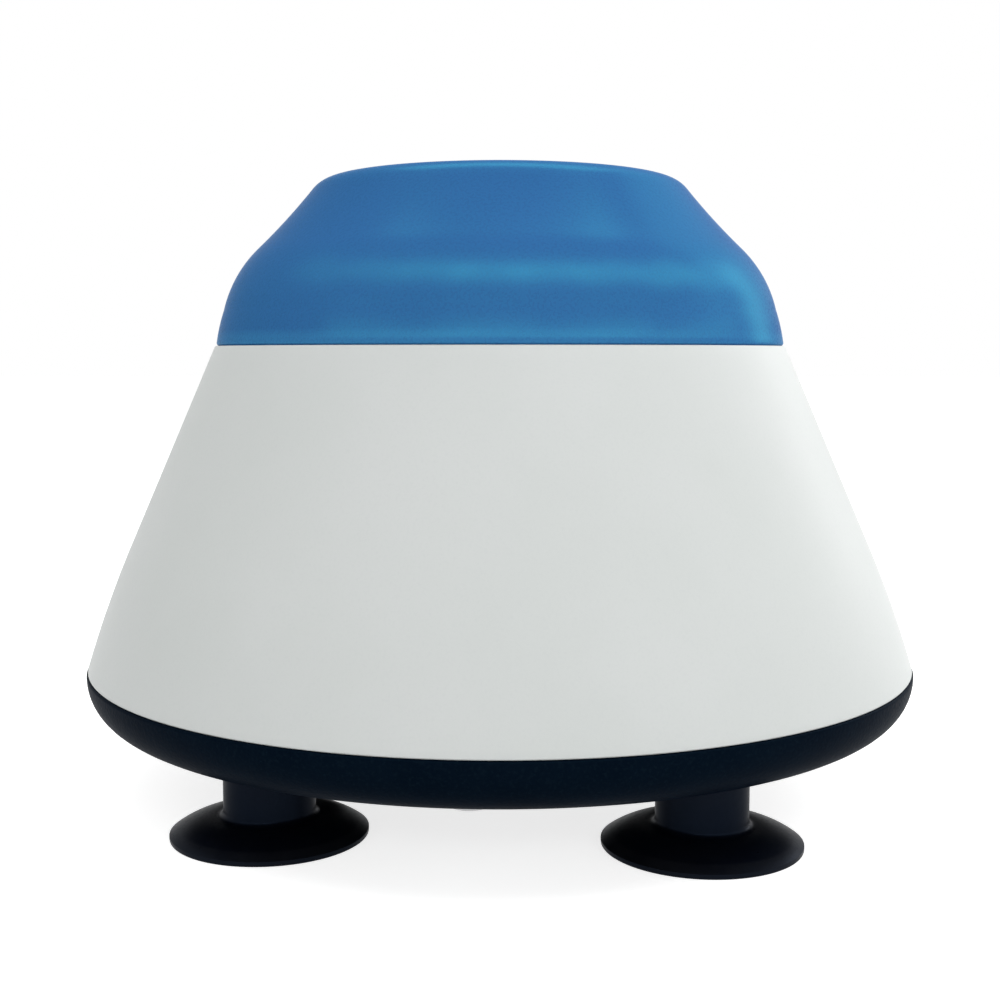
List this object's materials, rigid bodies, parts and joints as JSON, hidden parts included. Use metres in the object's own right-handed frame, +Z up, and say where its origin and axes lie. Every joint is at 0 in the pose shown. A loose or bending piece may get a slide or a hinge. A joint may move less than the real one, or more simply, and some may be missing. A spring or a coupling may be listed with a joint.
{
  "type": "vortex mixer",
  "caption": "Small round bench vortex mixer with a conical shell on suction feet, a domed cover and a rubber cup that orbits when a tube is pressed into it.",
  "frame": {"origin": "on the bench, below the motor's axis at the centre of the round base", "axes": "+Z up along the motor's axis, -Y towards the front, with the power inlet at +Y, +X to the right seen from the front"},
  "size_m": [0.1, 0.1, 0.0741],
  "materials": {
    "blue_cover": "satin",
    "white_shell": "satin",
    "black_base": "satin",
    "foot_rubber": "matte",
    "ballast_iron": "painted",
    "board_laminate": "satin",
    "black_plastic": "satin",
    "contact_brass": "bright",
    "plated_nut": "bright",
    "steel": "turned",
    "spring_steel": "bright",
    "cradle_aluminium": "satin",
    "bush_bronze": "satin",
    "motor_steel": "plated",
    "magnet_ferrite": "matte",
    "core_steel": "laminated",
    "carrier_plastic": "satin",
    "cup_rubber": "matte",
    "plunger_plastic": "satin"
  },
  "bodies": {
    "housing": {"top_cover": "blue_cover", "housing_shell": "white_shell", "base_tray": "black_base", "suction_foot_1": "foot_rubber", "suction_foot_2": "foot_rubber", "suction_foot_3": "foot_rubber", "suction_foot_4": "foot_rubber", "ballast_ring": "ballast_iron", "circuit_board": "board_laminate", "board_screws": "steel", "switch_body": "black_plastic", "dc_jack": "black_plastic", "jack_pin": "contact_brass", "jack_nut": "plated_nut", "guide_post_1": "steel", "guide_post_2": "steel", "guide_post_3": "steel", "return_spring_1": "spring_steel", "return_spring_2": "spring_steel", "return_spring_3": "spring_steel", "post_clips": "steel", "post_screws": "steel", "base_screws": "steel"},
    "drive_carriage": {"cradle_plate": "cradle_aluminium", "guide_bushes": "bush_bronze", "orbit_pegs": "steel", "motor_can": "motor_steel", "motor_bush": "bush_bronze", "motor_end_cap": "black_plastic", "motor_magnets": "magnet_ferrite", "motor_terminals": "contact_brass", "motor_screws": "steel"},
    "rotor": {"motor_shaft": "steel", "motor_armature": "core_steel", "motor_commutator": "contact_brass", "eccentric_hub": "steel", "hub_set_screw": "steel", "counterweight": "contact_brass", "bearing_inner_ring": "spring_steel", "journal_clip": "steel"},
    "head": {"bearing_balls": "spring_steel", "bearing_outer_ring": "spring_steel", "cup_carrier": "carrier_plastic", "tube_cup": "cup_rubber"},
    "switch_plunger": {"switch_plunger": "plunger_plastic"}
  },
  "joints": [
    {"name": "head_press", "type": "slide", "parent": "housing", "child": "drive_carriage", "axis": [0, 0, -1], "range_m": [0, 0.0015], "stiffness_N_per_m": 2000, "springref_m": -0.003, "deforming": ["return_spring_1", "return_spring_2", "return_spring_3"]},
    {"name": "motor_spin", "type": "hinge", "parent": "drive_carriage", "child": "rotor", "pos_m": [0, 0, 0.0539], "axis": [0, 0, 1], "continuous": true},
    {"name": "head_orbit", "type": "hinge", "parent": "rotor", "child": "head", "pos_m": [0.00225, 0, 0.0618], "axis": [0, 0, 1], "continuous": true},
    {"name": "plunger_press", "type": "slide", "parent": "housing", "child": "switch_plunger", "axis": [0, 0, -1], "range_m": [0, 0.0015], "stiffness_N_per_m": 0.5, "springref_m": -0.0008}
  ],
  "couplings": [
    {"joint": "head_orbit", "follows": "motor_spin", "ratio": -1},
    {"joint": "plunger_press", "follows": "head_press", "ratio": 1}
  ]
}
